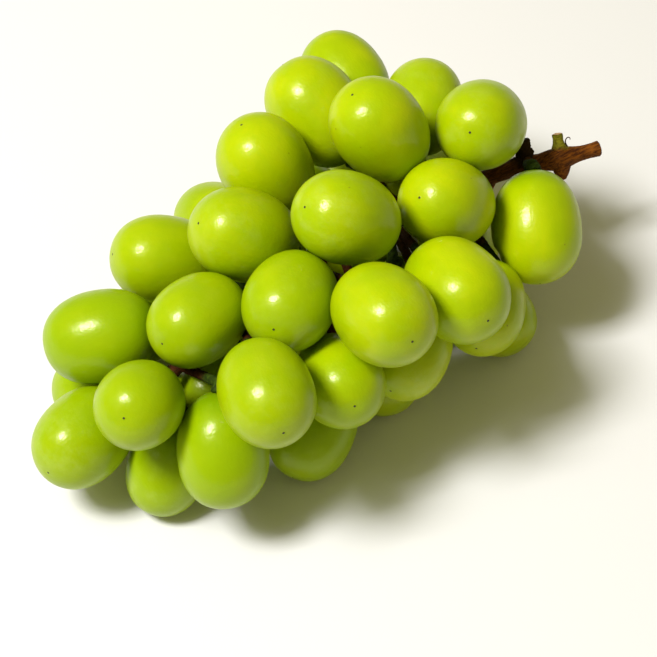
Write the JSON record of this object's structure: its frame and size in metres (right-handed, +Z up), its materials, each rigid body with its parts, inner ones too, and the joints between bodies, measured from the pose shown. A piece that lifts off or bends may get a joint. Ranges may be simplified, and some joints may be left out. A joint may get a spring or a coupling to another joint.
{
  "type": "bunch of grapes",
  "caption": "Bunch of large oval green table grapes on a woody branched stem with a short cut end, lying on its side on a flat surface.",
  "frame": {"origin": "on the surface the bunch lies on, under the middle of its bounding box", "axes": "+Z up from the surface; +X along the bunch towards the cut end of the stem; +Y completes the right-handed frame"},
  "size_m": [0.1958, 0.1316, 0.0829],
  "materials": {
    "grape_skin": "smooth waxy translucent yellow-green skin with a faint bloom",
    "stem_wood": "dull brown ridged bark, greener on the pedicels"
  },
  "bodies": {
    "root": {"stem": "stem_wood", "berry_01": "grape_skin", "berry_02": "grape_skin", "berry_03": "grape_skin", "berry_04": "grape_skin", "berry_05": "grape_skin", "berry_06": "grape_skin", "berry_07": "grape_skin", "berry_08": "grape_skin", "berry_09": "grape_skin", "berry_10": "grape_skin", "berry_11": "grape_skin", "berry_12": "grape_skin", "berry_13": "grape_skin", "berry_14": "grape_skin", "berry_15": "grape_skin", "berry_16": "grape_skin", "berry_17": "grape_skin", "berry_18": "grape_skin", "berry_19": "grape_skin", "berry_20": "grape_skin", "berry_21": "grape_skin", "berry_22": "grape_skin", "berry_23": "grape_skin", "berry_24": "grape_skin", "berry_25": "grape_skin", "berry_26": "grape_skin", "berry_27": "grape_skin", "berry_28": "grape_skin", "berry_29": "grape_skin", "berry_30": "grape_skin", "berry_31": "grape_skin", "berry_32": "grape_skin", "berry_33": "grape_skin", "berry_34": "grape_skin", "berry_35": "grape_skin", "berry_36": "grape_skin", "berry_37": "grape_skin", "berry_38": "grape_skin", "berry_39": "grape_skin", "berry_40": "grape_skin", "berry_41": "grape_skin"}
  },
  "joints": []
}
